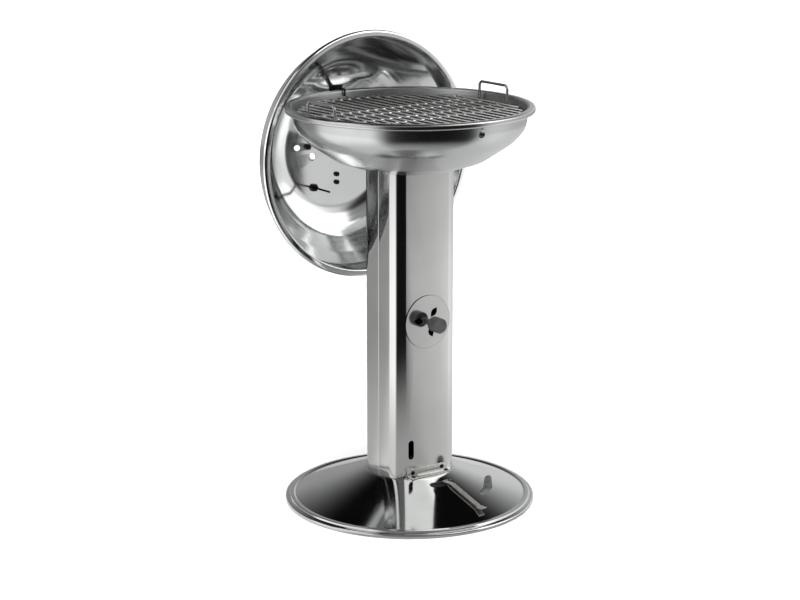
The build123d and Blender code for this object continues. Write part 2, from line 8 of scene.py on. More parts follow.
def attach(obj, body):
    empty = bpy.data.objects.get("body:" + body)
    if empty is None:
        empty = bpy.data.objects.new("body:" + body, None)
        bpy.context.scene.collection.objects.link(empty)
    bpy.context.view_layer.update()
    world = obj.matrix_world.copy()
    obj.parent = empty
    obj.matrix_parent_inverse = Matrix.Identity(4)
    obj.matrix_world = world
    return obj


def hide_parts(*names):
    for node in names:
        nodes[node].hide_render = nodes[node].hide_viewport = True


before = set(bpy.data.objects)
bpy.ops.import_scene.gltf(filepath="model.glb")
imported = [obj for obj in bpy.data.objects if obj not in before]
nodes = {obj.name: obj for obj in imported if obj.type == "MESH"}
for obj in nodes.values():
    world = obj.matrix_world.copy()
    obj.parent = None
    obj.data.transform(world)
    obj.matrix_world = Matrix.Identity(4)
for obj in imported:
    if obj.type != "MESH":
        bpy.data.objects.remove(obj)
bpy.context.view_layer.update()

scene = bpy.context.scene
mm = 0.001
print("frame loaded:", len(nodes), "nodes")


def linear(hexColour):
    parts = [int(hexColour[i:i + 2], 16) / 255 for i in (1, 3, 5)]
    return [c / 12.92 if c <= 0.04045 else ((c + 0.055) / 1.055) ** 2.4 for c in parts] + [1.0]


def addNode(tree, kind, inputs=None, **settings):  # one node with its settings and its links
    node = tree.nodes.new(kind)
    for name, value in settings.items():
        setattr(node, name, value)
    for name, value in (inputs or {}).items():
        if isinstance(value, bpy.types.NodeSocket):
            tree.links.new(value, node.inputs[name])
        else:
            node.inputs[name].default_value = value
    return node


def startMaterial(name):
    material = bpy.data.materials.new(name)
    material.use_nodes = True
    tree = material.node_tree
    tree.nodes.clear()
    shader = addNode(tree, "ShaderNodeBsdfPrincipled")
    addNode(tree, "ShaderNodeOutputMaterial", {"Surface": shader.outputs["BSDF"]})
    place = addNode(tree, "ShaderNodeTexCoord").outputs["Object"]
    return material, tree, shader, place


noiseSpan = (0.3, 0.7)  # nearly all of a noise lies in this span


def dress(tree, shader, look, wide, fine):  # tint wanders with the wide pattern, gloss and relief with the fine one
    ramp = addNode(tree, "ShaderNodeValToRGB", {"Fac": wide})
    stops = ramp.color_ramp.elements
    for index, tint in enumerate((look["dark"], look["light"])):
        stops[index].position = noiseSpan[index]
        stops[index].color = linear(tint)
    gloss = addNode(tree, "ShaderNodeMapRange", {"Value": fine, "From Min": noiseSpan[0], "From Max": noiseSpan[1],
                                                 "To Min": look["rough"][0], "To Max": look["rough"][1]})
    relief = addNode(tree, "ShaderNodeBump", {"Height": fine, "Strength": look["bump"],
                                              "Distance": look["bumpDepth"]})
    tree.links.new(ramp.outputs["Color"], shader.inputs["Base Color"])
    tree.links.new(gloss.outputs["Result"], shader.inputs["Roughness"])
    tree.links.new(relief.outputs["Normal"], shader.inputs["Normal"])
    return ramp.outputs["Color"], gloss.outputs["Result"]


def polishedSteel(name, look):  # spun stainless sheet, buffed: a near mirror with faint rings round the spin axis
    material, tree, shader, place = startMaterial(name)
    shader.inputs["Metallic"].default_value = 1.0
    flat = addNode(tree, "ShaderNodeMapping", {"Vector": place, "Location": look["centre"], "Scale": look["plane"]})
    radius = addNode(tree, "ShaderNodeVectorMath", {0: flat.outputs["Vector"]}, operation="LENGTH")
    rings = addNode(tree, "ShaderNodeTexNoise", {"W": radius.outputs["Value"], "Scale": 1 / look["ringWidth"],
                                                 "Detail": 3.0}, noise_dimensions="1D")
    smears = addNode(tree, "ShaderNodeTexNoise", {"Vector": place, "Scale": 1 / look["smearWidth"], "Detail": 4.0})
    tint, gloss = dress(tree, shader, look, smears.outputs["Fac"], rings.outputs["Fac"])
    if "mouth" in look:  # faces that look to the mouth are the unpolished inside; below the grate they get painted shade, a dark tint standing in for the shadow there
        toMouth = addNode(tree, "ShaderNodeVectorMath", {0: look["mouth"], 1: place}, operation="SUBTRACT")
        normal = place.node.outputs["Normal"]
        facing = addNode(tree, "ShaderNodeVectorMath", {0: toMouth.outputs["Vector"], 1: normal},
                         operation="DOT_PRODUCT")
        inside = addNode(tree, "ShaderNodeMath", {0: facing.outputs["Value"], 1: 0.0}, operation="GREATER_THAN")
        matt = addNode(tree, "ShaderNodeMix", {"Factor": inside.outputs["Value"], "A": gloss,
                                               "B": look["insideRough"]})
        tree.links.new(matt.outputs["Result"], shader.inputs["Roughness"])
        # painted shade: the inside is darkened towards a near black tint below the grate's level
        height = addNode(tree, "ShaderNodeSeparateXYZ", {"Vector": place}).outputs["Z"]
        deep = addNode(tree, "ShaderNodeMapRange", {"Value": height, "From Min": look["paintedShadeTop"] - look["paintedShadeFade"],
                                                    "From Max": look["paintedShadeTop"], "To Min": 1.0, "To Max": 0.0})
        paintedShadeMask = addNode(tree, "ShaderNodeMath", {0: deep.outputs["Result"], 1: inside.outputs["Value"]},
                         operation="MULTIPLY")
        black = addNode(tree, "ShaderNodeMix", {0: paintedShadeMask.outputs["Value"], 6: tint, 7: linear(look["paintedShadeTint"])},
                        data_type="RGBA")  # 6, 7 and 2 are a mix node's colour sockets
        tree.links.new(black.outputs[2], shader.inputs["Base Color"])
    return material


def brushedSteel(name, look):  # satin stainless sheet with grain along one way, so highlights run into streaks
    material, tree, shader, place = startMaterial(name)
    shader.inputs["Metallic"].default_value = 1.0
    along = addNode(tree, "ShaderNodeMapping", {"Vector": place, "Scale": look["stretch"]})
    grain = addNode(tree, "ShaderNodeTexNoise", {"Vector": along.outputs["Vector"], "Scale": 1 / look["grainWidth"],
                                                 "Detail": 3.0})
    clouds = addNode(tree, "ShaderNodeTexNoise", {"Vector": place, "Scale": 1 / look["cloudWidth"], "Detail": 2.0})
    tint, gloss = dress(tree, shader, look, clouds.outputs["Fac"], grain.outputs["Fac"])
    if "rim" in look:  # the plate's edge is tinted near black: painted shade, a dark line round the plate
        flat = addNode(tree, "ShaderNodeMapping", {"Vector": place, "Location": look["centre"], "Scale": (1, 0, 1)})
        radius = addNode(tree, "ShaderNodeVectorMath", {0: flat.outputs["Vector"]}, operation="LENGTH")
        edge = addNode(tree, "ShaderNodeMath", {0: radius.outputs["Value"], 1: look["rim"]}, operation="GREATER_THAN")
        shadedEdge = addNode(tree, "ShaderNodeMix", {0: edge.outputs["Value"], 6: tint, 7: linear(look["edgeShadeTint"])},
                         data_type="RGBA")
        tree.links.new(shadedEdge.outputs[2], shader.inputs["Base Color"])
    return material


def coatedMetal(name, look):  # plated, blackened or rolled steel: mottled over a few millimetres
    material, tree, shader, place = startMaterial(name)
    shader.inputs["Metallic"].default_value = look["metal"]
    mottle = addNode(tree, "ShaderNodeTexNoise", {"Vector": place, "Scale": 1 / look["mottleWidth"], "Detail": 4.0})
    dress(tree, shader, look, mottle.outputs["Fac"], mottle.outputs["Fac"])
    return material


def mouldedPlastic(name, look):  # phenolic moulding: dark grey, half matt, with a fine spark-eroded grain
    material, tree, shader, place = startMaterial(name)
    shader.inputs["IOR"].default_value = 1.55
    grain = addNode(tree, "ShaderNodeTexNoise", {"Vector": place, "Scale": 1 / look["grainWidth"], "Detail": 2.0})
    wear = addNode(tree, "ShaderNodeTexNoise", {"Vector": place, "Scale": 1 / look["wearWidth"], "Detail": 3.0})
    dress(tree, shader, look, wear.outputs["Fac"], grain.outputs["Fac"])
    return material


lidHeight = 613.0  # the hung lid's axis above the floor
regulatorHeight = 340.0  # the air regulator's axis above the floor
regulatorRadius = 48.0
mirrorLook = {"centre": (0, 0, 0), "plane": (1, 1, 0), "ringWidth": 4 * mm, "smearWidth": 70 * mm,
              "dark": "#C5C6C6", "light": "#D0D1D1", "rough": (0.06, 0.10), "bump": 0.01, "bumpDepth": 0.02 * mm}
# the bowl's dark tint below the grate is painted shade
bowlLook = dict(mirrorLook, dark="#B6B7B7", light="#C0C1C1", rough=(0.22, 0.24), bump=0.002,
                mouth=(0, 0, 715 * mm), insideRough=0.36, paintedShadeTop=698 * mm, paintedShadeFade=6 * mm, paintedShadeTint="#3E3E3D")
# the lid's steel is tinted lighter than the same steel on the foot and bowl: painted light
lidPaintedLightLook = dict(mirrorLook, dark="#EDEEEE", light="#F5F6F6", rough=(0.10, 0.15),
               centre=(0, 0, -lidHeight * mm), plane=(1, 0, 1))
columnLook = {"stretch": (1, 1, 0.006), "grainWidth": 0.7 * mm, "cloudWidth": 120 * mm, "dark": "#C5C6C4",
              "light": "#CFD0CE", "rough": (0.08, 0.14), "bump": 0.03, "bumpDepth": 0.03 * mm}
# the near black tint at the plate's rim is painted shade
plateLook = dict(columnLook, centre=(0, 0, -regulatorHeight * mm), rim=(regulatorRadius - 0.3) * mm,
                 edgeShadeTint="#1E1E1E")
stripLook = dict(columnLook, stretch=(0.2, 0.02, 1), rough=(0.16, 0.26))
wireLook = {"metal": 0.85, "mottleWidth": 3 * mm, "dark": "#D0D0CE", "light": "#E4E4E2", "rough": (0.18, 0.28),
            "bump": 0.03, "bumpDepth": 0.05 * mm}
handleLook = dict(wireLook, dark="#8E8E8D", light="#A3A3A1")
leverLook = dict(wireLook, metal=0.5, mottleWidth=6 * mm, dark="#827F7B", light="#9C9994", rough=(0.34, 0.48))
bracketLook = dict(wireLook, metal=0.6, mottleWidth=5 * mm, dark="#A9A8A4", light="#BDBCB8", rough=(0.26, 0.38))
tabLook = dict(leverLook, dark="#5C5E60", light="#77797B")
fireLook = dict(wireLook, dark="#8C8A86", light="#A5A39F", rough=(0.3, 0.5))
zincLook = dict(wireLook, mottleWidth=2 * mm, dark="#B4B5B6", light="#CBCCCE", rough=(0.28, 0.42))
sheetLook = dict(wireLook, mottleWidth=9 * mm, dark="#A6A6A4", light="#BDBDBB", rough=(0.25, 0.4))
blackLook = dict(wireLook, metal=0.6, mottleWidth=2 * mm, dark="#131314", light="#232324", rough=(0.3, 0.45),
                 bump=0.1)
plasticLook = {"grainWidth": 0.5 * mm, "wearWidth": 14 * mm, "dark": "#3B3B3D", "light": "#4A4A4C",
               "rough": (0.38, 0.55), "bump": 0.25, "bumpDepth": 0.05 * mm}
dialLook = dict(plasticLook, dark="#E4E3DE", light="#EFEEEA", rough=(0.35, 0.45))
inkLook = dict(plasticLook, dark="#141414", light="#202020")
redLook = dict(plasticLook, dark="#A3201C", light="#B92B25", rough=(0.35, 0.45))

footSteel = polishedSteel("polishedStainlessSpun", mirrorLook)
bowlSteel = polishedSteel("polishedStainlessBowl", bowlLook)
lidSteel = polishedSteel("polishedStainlessLid", lidPaintedLightLook)
columnSteel = brushedSteel("satinStainlessUpright", columnLook)
plateSteel = brushedSteel("satinStainlessPlate", plateLook)
stripSteel = brushedSteel("satinStainlessStrip", stripLook)
grateSteel = coatedMetal("chromedWire", wireLook)
handleSteel = coatedMetal("dullChromedWire", handleLook)
fireSteel = coatedMetal("heatDulledWire", fireLook)
leverSteel = coatedMetal("galvanisedStrip", leverLook)
bracketSteel = coatedMetal("nickelPlatedSheet", bracketLook)
tabSteel = coatedMetal("heatTintedSheet", tabLook)
zincSteel = coatedMetal("zincPlatedSteel", zincLook)
plainSteel = coatedMetal("coldRolledSheet", sheetLook)
blackSteel = coatedMetal("blackenedSteel", blackLook)
gripPlastic = mouldedPlastic("phenolicMoulding", plasticLook)
dialPaint = mouldedPlastic("dialEnamel", dialLook)
dialInk = mouldedPlastic("dialInk", inkLook)
pointerPaint = mouldedPlastic("pointerLacquer", redLook)
print("materials made")


def cornerReach(last, corner, after, bend):
    half = (last - corner).angle(after - corner) / 2
    return bend / math.tan(half), 180 - math.degrees(half) * 2


def roundedLine(points, bends):  # a few vertices joined up, each corner bevelled to its bend
    bm = bmesh.new()
    verts = [bm.verts.new(point) for point in points]
    for first, second in zip(verts, verts[1:]):
        bm.edges.new((first, second))
    places = [vert.co.copy() for vert in verts]
    for index in range(1, len(points) - 1):
        if bends[index] > 0:
            reach, turn = cornerReach(places[index - 1], places[index], places[index + 1], bends[index])
            bmesh.ops.bevel(bm, geom=[verts[index]], offset=reach, offset_type="OFFSET", affect="VERTICES",
                            segments=max(3, round(turn / 5)), profile=0.5, material=-1, clamp_overlap=False)
    return bm


def profileLine(rows):  # rows of (radius, height, bend) in millimetres, in the XZ plane
    return roundedLine([(a * mm, 0, b * mm) for a, b, bend in rows], [bend * mm for a, b, bend in rows])


def turnOutward(bm, outward):
    bmesh.ops.remove_doubles(bm, verts=bm.verts[:], dist=1e-6)
    bmesh.ops.recalc_face_normals(bm, faces=bm.faces[:])
    far = max(bm.faces, key=lambda face: face.calc_center_median().dot(outward))
    if far.normal.dot(outward) < 0:
        bmesh.ops.reverse_faces(bm, faces=bm.faces[:])


def spunSkin(rows, steps, outward):
    bm = profileLine(rows)
    bmesh.ops.spin(bm, geom=bm.verts[:] + bm.edges[:], cent=(0, 0, 0), axis=(0, 0, 1), angle=math.tau,
                   steps=steps, use_merge=True)
    turnOutward(bm, Vector(outward))
    return bm


def spunSolid(rows, steps):  # a closed turned piece: the rows run from the axis out and back to it
    bm = profileLine(rows)
    bmesh.ops.spin(bm, geom=bm.verts[:] + bm.edges[:], cent=(0, 0, 0), axis=(0, 0, 1), angle=math.tau,
                   steps=steps, use_merge=True)
    bmesh.ops.remove_doubles(bm, verts=bm.verts[:], dist=1e-6)
    bmesh.ops.recalc_face_normals(bm, faces=bm.faces[:])
    return bm


def moved(bm, matrix):
    bmesh.ops.transform(bm, matrix=matrix, verts=bm.verts[:])
    return bm


def at(x, y, z):
    return Matrix.Translation((x * mm, y * mm, z * mm))


def turn(degrees, axis):
    return Matrix.Rotation(math.radians(degrees), 4, axis)


backward = turn(-90, "X")  # what was up now looks along +y
forward = turn(90, "X")  # what was up now looks along -y


def joined(*parts):
    whole = bmesh.new()
    for part in parts:
        carrier = bpy.data.meshes.new("carrier")
        part.to_mesh(carrier)
        part.free()
        whole.from_mesh(carrier)
        bpy.data.meshes.remove(carrier)
    return whole


def rodAlong(start, end, radius, segments=16, tip=0.35):  # straight round bar with softened ends
    start, end = Vector(start) * mm, Vector(end) * mm
    bm = bmesh.new()
    bmesh.ops.create_cone(bm, cap_ends=True, segments=segments, radius1=radius * mm, radius2=radius * mm,
                          depth=(end - start).length)
    rims = [edge for edge in bm.edges if abs(edge.verts[0].co.z - edge.verts[1].co.z) < 1e-9]
    bmesh.ops.bevel(bm, geom=rims, offset=tip * mm, affect="EDGES", segments=2, profile=0.5, material=-1)
    facing = (end - start).to_track_quat("Z", "Y").to_matrix().to_4x4()
    return moved(bm, Matrix.Translation((start + end) / 2) @ facing)


def bentWire(points, bend, radius, segments=6):  # round wire along a line with rounded corners
    line = roundedLine([Vector(point) * mm for point in points], [bend * mm] * len(points))
    first = Vector(points[0]) * mm
    vert = min((v for v in line.verts if len(v.link_edges) == 1), key=lambda v: (v.co - first).length)
    chain, used = [vert.co.copy()], set()
    while True:
        onward = [edge for edge in vert.link_edges if edge not in used]
        if not onward:
            break
        used.add(onward[0])
        vert = onward[0].other_vert(vert)
        chain.append(vert.co.copy())
    line.free()
    curve = bpy.data.curves.new("wireRun", "CURVE")
    curve.dimensions = "3D"
    curve.bevel_depth = radius * mm
    curve.bevel_resolution = segments
    curve.use_fill_caps = True
    spline = curve.splines.new("POLY")
    spline.points.add(len(chain) - 1)
    for point, place in zip(spline.points, chain):
        point.co = (*place, 1)
    carrier = bpy.data.objects.new("wireRun", curve)
    scene.collection.objects.link(carrier)
    tube = bpy.data.meshes.new_from_object(carrier.evaluated_get(bpy.context.evaluated_depsgraph_get()))
    bpy.data.objects.remove(carrier)
    bpy.data.curves.remove(curve)
    bm = bmesh.new()
    bm.from_mesh(tube)
    bpy.data.meshes.remove(tube)
    bmesh.ops.remove_doubles(bm, verts=bm.verts[:], dist=1e-6)
    bmesh.ops.recalc_face_normals(bm, faces=bm.faces[:])
    return bm


def hoop(ringRadius, wire, height, steps=160, segments=16):
    bm = bmesh.new()
    bmesh.ops.create_circle(bm, cap_ends=False, segments=segments, radius=wire * mm)
    moved(bm, at(ringRadius, 0, 0) @ turn(90, "X"))
    bmesh.ops.spin(bm, geom=bm.verts[:] + bm.edges[:], cent=(0, 0, 0), axis=(0, 0, 1), angle=math.tau,
                   steps=steps, use_merge=True)
    bmesh.ops.remove_doubles(bm, verts=bm.verts[:], dist=1e-6)
    bmesh.ops.recalc_face_normals(bm, faces=bm.faces[:])
    return moved(bm, at(0, 0, height))


def slab(low, high, soften=0.0, segments=2):  # box between two corners, edges softened
    bm = bmesh.new()
    bmesh.ops.create_cube(bm, size=1.0)
    size = [(b - a) * mm for a, b in zip(low, high)]
    middle = [(b + a) / 2 for a, b in zip(low, high)]
    moved(bm, at(*middle) @ Matrix.Diagonal((*size, 1)))
    if soften:
        bmesh.ops.bevel(bm, geom=bm.edges[:], offset=soften * mm, affect="EDGES", segments=segments, profile=0.5,
                        material=-1)
    return bm


def disc(radius, low, high, segments=96):  # upright plain cylinder, for plates and for cutting
    bm = bmesh.new()
    bmesh.ops.create_cone(bm, cap_ends=True, segments=segments, radius1=radius * mm, radius2=radius * mm,
                          depth=(high - low) * mm)
    return moved(bm, at(0, 0, (low + high) / 2))


def pulled(bm, way):  # a line's edges extruded to a strip
    grown = bmesh.ops.extrude_edge_only(bm, edges=bm.edges[:])["geom"]
    bmesh.ops.translate(bm, vec=Vector(way) * mm, verts=[g for g in grown if isinstance(g, bmesh.types.BMVert)])


def leaf(length, width, depth):  # pointed oval through a plate, from two bevelled corners of a flat diamond
    bm = bmesh.new()
    bmesh.ops.create_circle(bm, cap_ends=True, segments=4, radius=1.0)
    moved(bm, Matrix.Diagonal((length / 2 * mm, width * mm, 1, 1)))
    sides = [vert for vert in bm.verts if abs(vert.co.x) < 1e-6]
    bmesh.ops.bevel(bm, geom=sides, offset=length * 0.3 * mm, offset_type="OFFSET", affect="VERTICES", segments=8,
                    profile=0.5, material=-1)
    grown = bmesh.ops.extrude_face_region(bm, geom=bm.faces[:])["geom"]
    bmesh.ops.translate(bm, vec=(0, 0, depth * mm), verts=[g for g in grown if isinstance(g, bmesh.types.BMVert)])
    bmesh.ops.recalc_face_normals(bm, faces=bm.faces[:])
    return moved(bm, at(0, 0, -depth / 2))


def freeze(piece):
    made = bpy.data.meshes.new_from_object(piece.evaluated_get(bpy.context.evaluated_depsgraph_get()))
    piece.modifiers.clear()
    old = piece.data
    piece.data = made
    bpy.data.meshes.remove(old)


sharpAngle = 32  # edges that turn by more degrees stay sharp


def shadeSmooth(piece, crease):
    for face in piece.data.polygons:
        face.use_smooth = True
    piece.data.set_sharp_from_angle(angle=math.radians(crease))


def makePiece(name, bm, body, material, replaced, wall=0.0, soften=0.0, addOn=None, crease=sharpAngle):
    mesh = bpy.data.meshes.new(name)
    bm.to_mesh(mesh)
    bm.free()
    piece = bpy.data.objects.new(name, mesh)
    scene.collection.objects.link(piece)
    if wall:
        thick = piece.modifiers.new("wall", "SOLIDIFY")
        thick.thickness = wall * mm
        thick.offset = -1
        thick.use_even_offset = True
    if soften:
        edge = piece.modifiers.new("edge", "BEVEL")
        edge.width = soften * mm
        edge.segments = 2
        edge.limit_method = "ANGLE"
        edge.angle_limit = math.radians(50)
    freeze(piece)
    if addOn:
        whole = bmesh.new()
        whole.from_mesh(piece.data)
        carrier = bpy.data.meshes.new("carrier")
        addOn.to_mesh(carrier)
        addOn.free()
        whole.from_mesh(carrier)
        whole.to_mesh(piece.data)
        whole.free()
        bpy.data.meshes.remove(carrier)
    piece.data.name = name
    piece.data.materials.clear()
    piece.data.materials.append(material)
    shadeSmooth(piece, crease)
    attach(piece, body)
    if replaced:
        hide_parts(*replaced)
    return piece


def cutAll(piece, tools):  # several cutters, one after another
    for shape in tools:
        tool = bpy.data.objects.new("cutter", bpy.data.meshes.new("cutter"))
        shape.to_mesh(tool.data)
        shape.free()
        scene.collection.objects.link(tool)
        cut = piece.modifiers.new("cut", "BOOLEAN")
        cut.operation = "DIFFERENCE"
        cut.solver = "EXACT"
        cut.object = tool
        freeze(piece)
        bpy.data.objects.remove(tool)
    shadeSmooth(piece, sharpAngle)


# foot: spun cone with a rolled bead, a stepped ring inside it, the lever's slot and a round-topped toe tab
foot = {
    "rows": [(215, 0, 0), (226, 0, 3.6), (226, 8, 3.6), (218.6, 8, 1.3), (217, 12, 1.6), (210.5, 12, 1.6),
             (208, 10.5, 2), (80, 58, 25), (43, 58, 0)],
    "steps": 288, "wall": 1.0,
    "slot": {"inner": 92.5, "outer": 105, "start": -100.8, "end": -78.8, "low": 20, "high": 70},
    "tab": {"radius": 149, "angle": -55, "facing": -92, "width": 20, "height": 26, "sheet": 1.6, "taper": 0.68,
            "crown": 0.9, "sunk": 3.0, "edge": 0.3},
}


def coneHeight(radius):  # the cone's face between its outer and its inner bend
    (outer, low, _), (inner, high, _) = foot["rows"][6:8]
    return low + (outer - radius) * (high - low) / (outer - inner)


def footSlot(slot):  # a flat strip swept round the axis, with round ends
    middle, half = (slot["inner"] + slot["outer"]) / 2, (slot["outer"] - slot["inner"]) / 2
    centre, reach = (slot["low"] + slot["high"]) / 2, (slot["high"] - slot["low"]) / 2
    bm = bmesh.new()
    bmesh.ops.create_grid(bm, x_segments=1, y_segments=1, size=1.0)
    upright = turn(90, "X") @ Matrix.Diagonal((half * mm, reach * mm, 1, 1))
    moved(bm, turn(slot["start"], "Z") @ at(middle, 0, centre) @ upright)
    bmesh.ops.spin(bm, geom=bm.verts[:] + bm.edges[:] + bm.faces[:], cent=(0, 0, 0), axis=(0, 0, 1),
                   angle=math.radians(slot["end"] - slot["start"]), steps=24)
    bmesh.ops.remove_doubles(bm, verts=bm.verts[:], dist=1e-6)
    bmesh.ops.recalc_face_normals(bm, faces=bm.faces[:])
    tools = [bm]
    for angle in (slot["start"], slot["end"]):
        tools.append(moved(disc(half, slot["low"], slot["high"], 32), turn(angle, "Z") @ at(middle, 0, 0)))
    return tools


def toeTab(tab):
    halfWay = tab["height"] / 2
    size = [tab[key] * mm for key in ("width", "sheet", "height")]
    bm = bmesh.new()
    bmesh.ops.create_cube(bm, size=1.0)
    moved(bm, at(0, 0, halfWay) @ Matrix.Diagonal((*size, 1)))
    for vert in bm.verts:
        if vert.co.z > halfWay * mm:
            vert.co.x *= tab["taper"]
    tops = [e for e in bm.edges if all(v.co.z > halfWay * mm for v in e.verts)
            and abs(e.verts[0].co.y - e.verts[1].co.y) > tab["sheet"] / 2 * mm]
    bmesh.ops.bevel(bm, geom=tops, offset=tab["width"] / 2 * tab["taper"] * tab["crown"] * mm, affect="EDGES",
                    segments=12, profile=0.5, material=-1)
    a = math.radians(tab["angle"])
    low = coneHeight(tab["radius"]) - tab["sunk"]
    foothold = at(tab["radius"] * math.cos(a), tab["radius"] * math.sin(a), low)
    return moved(bm, foothold @ turn(tab["facing"] + 90, "Z"))


footPiece = makePiece("footCone", spunSkin(foot["rows"], foot["steps"], (0, 0, 1)), "frame", footSteel,
                      ["base_cone"], wall=foot["wall"])
cutAll(footPiece, footSlot(foot["slot"]))
makePiece("footToeTab", toeTab(foot["tab"]), "frame", tabSteel, [], soften=foot["tab"]["edge"])
print("foot made")

# bowl: rolled lip, short upright wall, crease, dished bottom, three grate rests pressed in from the wall
bowl = {
    "rows": [(41, 610, 0), (84, 610, 16), (134, 626, 60), (184, 660, 60), (204, 683, 35), (206, 719, 3),
             (218, 719, 3.5), (218, 710, 3), (212, 710, 0)],
    "steps": 288, "wall": 1.0, "restAngles": (-90, 30, 150),
    "mouth": {"middle": 205, "reach": 10, "half": 5.9, "sill": 691, "spring": 695},
    "eye": {"radius": 2.4, "height": 706, "inward": 10, "outward": 4},
    "tongue": {"near": 185, "far": 205.2, "half": 5, "low": 699, "high": 701, "edge": 0.6},
}


def restMouth(angle):  # arched opening with a small round eye over it
    mouth, eye = bowl["mouth"], bowl["eye"]
    arch = slab((mouth["middle"] - mouth["reach"], -mouth["half"], mouth["sill"]),
                (mouth["middle"] + mouth["reach"], mouth["half"], mouth["spring"]))
    crown = moved(disc(mouth["half"], -mouth["reach"], mouth["reach"], 32),
                  at(mouth["middle"], 0, mouth["spring"]) @ turn(90, "Y"))
    hole = moved(disc(eye["radius"], -eye["inward"], eye["outward"], 24),
                 at(mouth["middle"], 0, eye["height"]) @ turn(90, "Y"))
    return [moved(shape, turn(angle, "Z")) for shape in (arch, crown, hole)]


def restTongue(angle):
    tongue = bowl["tongue"]
    plate = slab((tongue["near"], -tongue["half"], tongue["low"]), (tongue["far"], tongue["half"], tongue["high"]),
                 tongue["edge"])
    return moved(plate, turn(angle, "Z"))


bowlPiece = makePiece("bowlShell", spunSkin(bowl["rows"], bowl["steps"], (0, 0, -1)), "frame", bowlSteel,
                      ["bowl"], wall=bowl["wall"])
for angle in bowl["restAngles"]:
    cutAll(bowlPiece, restMouth(angle))
makePiece("bowlRests", joined(*[restTongue(angle) for angle in bowl["restAngles"]]), "frame", bowlSteel,
          [])
print("bowl made")

# lid: the same pressing, hung on edge behind the bowl, its inside to the front
lid = {
    "rows": [(0, 110, 0), (119, 110, 60), (156.6, 96, 60), (190, 62, 50), (210, 40, 10), (212, 1, 3), (223, 1, 3.5),
             (223, 10, 3), (217, 10, 0)],
    "steps": 288, "wall": 1.0, "face": 122.0, "flat": 232.0,
    "vent": {"x": -63.4, "z": 5.4, "ring": 22, "hole": 7.5, "angles": (55, 175, 295), "reach": 20},
}
lidPlace = at(0, lid["face"], lidHeight) @ backward
vent = lid["vent"]


def ventHole(angle, y):  # cutter on the vent's circle
    a = math.radians(angle)
    x = vent["x"] + vent["ring"] * math.cos(a)
    z = lidHeight + vent["z"] + vent["ring"] * math.sin(a)
    return moved(disc(vent["hole"], -vent["reach"], vent["reach"], 48), at(x, y, z) @ backward)


lidPiece = makePiece("lidShell", moved(spunSkin(lid["rows"], lid["steps"], (0, 0, 1)), lidPlace), "lid", lidSteel,
                     ["lid_shell"], wall=lid["wall"])
cutAll(lidPiece, [ventHole(angle, lid["flat"]) for angle in vent["angles"]])
print("lid made")

# column: two folded halves, lips turned in at the side seams
column = {
    "rows": [(-54.5, 0, 0), (-67.5, 0, 1.2), (-67.5, 53, 22), (67.5, 53, 22), (67.5, 0, 1.2), (54.5, 0, 0)],
    "low": 58.0, "high": 610.0, "wall": 1.0, "front": -53.0, "crease": 20,
    "lighting": {"x": -35, "low": 96, "high": 119.5, "radius": 6, "near": -75, "far": -50, "round": 0.98},
}
vanes = {"angles": (50, 170, 290), "middle": 20.5, "length": 21, "width": 8, "reach": 30}


def foldedHalf(side):
    rows = column["rows"]
    bm = roundedLine([(a * mm, side * b * mm, column["low"] * mm) for a, b, bend in rows],
                     [bend * mm for a, b, bend in rows])
    pulled(bm, (0, 0, column["high"] - column["low"]))
    turnOutward(bm, Vector((0, side, 0)))
    return bm


def vaneCutters(y):
    tools = []
    for angle in vanes["angles"]:
        a = math.radians(angle)
        spot = at(vanes["middle"] * math.cos(a), y, regulatorHeight + vanes["middle"] * math.sin(a))
        tools.append(moved(leaf(vanes["length"], vanes["width"], vanes["reach"]),
                           spot @ turn(90, "X") @ turn(angle, "Z")))
    return tools


frontPiece = makePiece("columnFront", foldedHalf(-1), "frame", columnSteel, ["column_front"],
                       wall=column["wall"], crease=column["crease"])
light = column["lighting"]
lightHole = slab((light["x"] - light["radius"], light["near"], light["low"] - light["radius"]),
                 (light["x"] + light["radius"], light["far"], light["high"] + light["radius"]))
throughEdges = [e for e in lightHole.edges if abs(e.verts[0].co.y - e.verts[1].co.y) > light["radius"] * mm]
bmesh.ops.bevel(lightHole, geom=throughEdges, offset=light["radius"] * light["round"] * mm, affect="EDGES",
                segments=8, profile=0.5, material=-1)
cutAll(frontPiece, [lightHole, *vaneCutters(column["front"])])
makePiece("columnRear", foldedHalf(1), "frame", columnSteel, ["column_rear"], wall=column["wall"],
          crease=column["crease"])
print("column made")

# air regulator: thin round plate with three leaf slots, and its fluted knob on a neck
regulator = {
    "near": -54.5, "far": -53.3, "knobRadius": 13.5, "knobLength": 39.0, "neck": 16.5, "neckRadius": 5.5,
    "rim": 3.0, "dish": (0.6, 0.8), "flutes": {"count": 20, "radius": 1.3, "out": 0.75, "low": 3, "high": 4},
}
platePiece = makePiece("regulatorPlate", moved(disc(regulatorRadius, regulator["near"], regulator["far"], 128),
                                               at(0, 0, regulatorHeight) @ turn(-90, "X")),
                       "regulator", plateSteel, ["regulator_disc"])
cutAll(platePiece, vaneCutters((regulator["near"] + regulator["far"]) / 2))
k, flute = regulator, regulator["flutes"]
dishRadius, dishLevel = k["knobRadius"] - k["rim"] - k["dish"][0], k["knobLength"] - k["dish"][1]
knobRows = [(0, 0, 0), (k["neckRadius"], 0, 0.3), (k["neckRadius"], k["neck"], 0.6),
            (k["knobRadius"], k["neck"], 1.6), (k["knobRadius"], k["knobLength"], 1.6),
            (k["knobRadius"] - k["rim"], k["knobLength"], 0.5), (dishRadius, dishLevel, 0.4), (0, dishLevel, 0)]
knobPlace = at(0, k["near"], regulatorHeight) @ forward
knobPiece = makePiece("regulatorKnob", moved(spunSolid(knobRows, 96), knobPlace), "regulator", gripPlastic,
                      ["regulator_knob"])
fluteTools = []
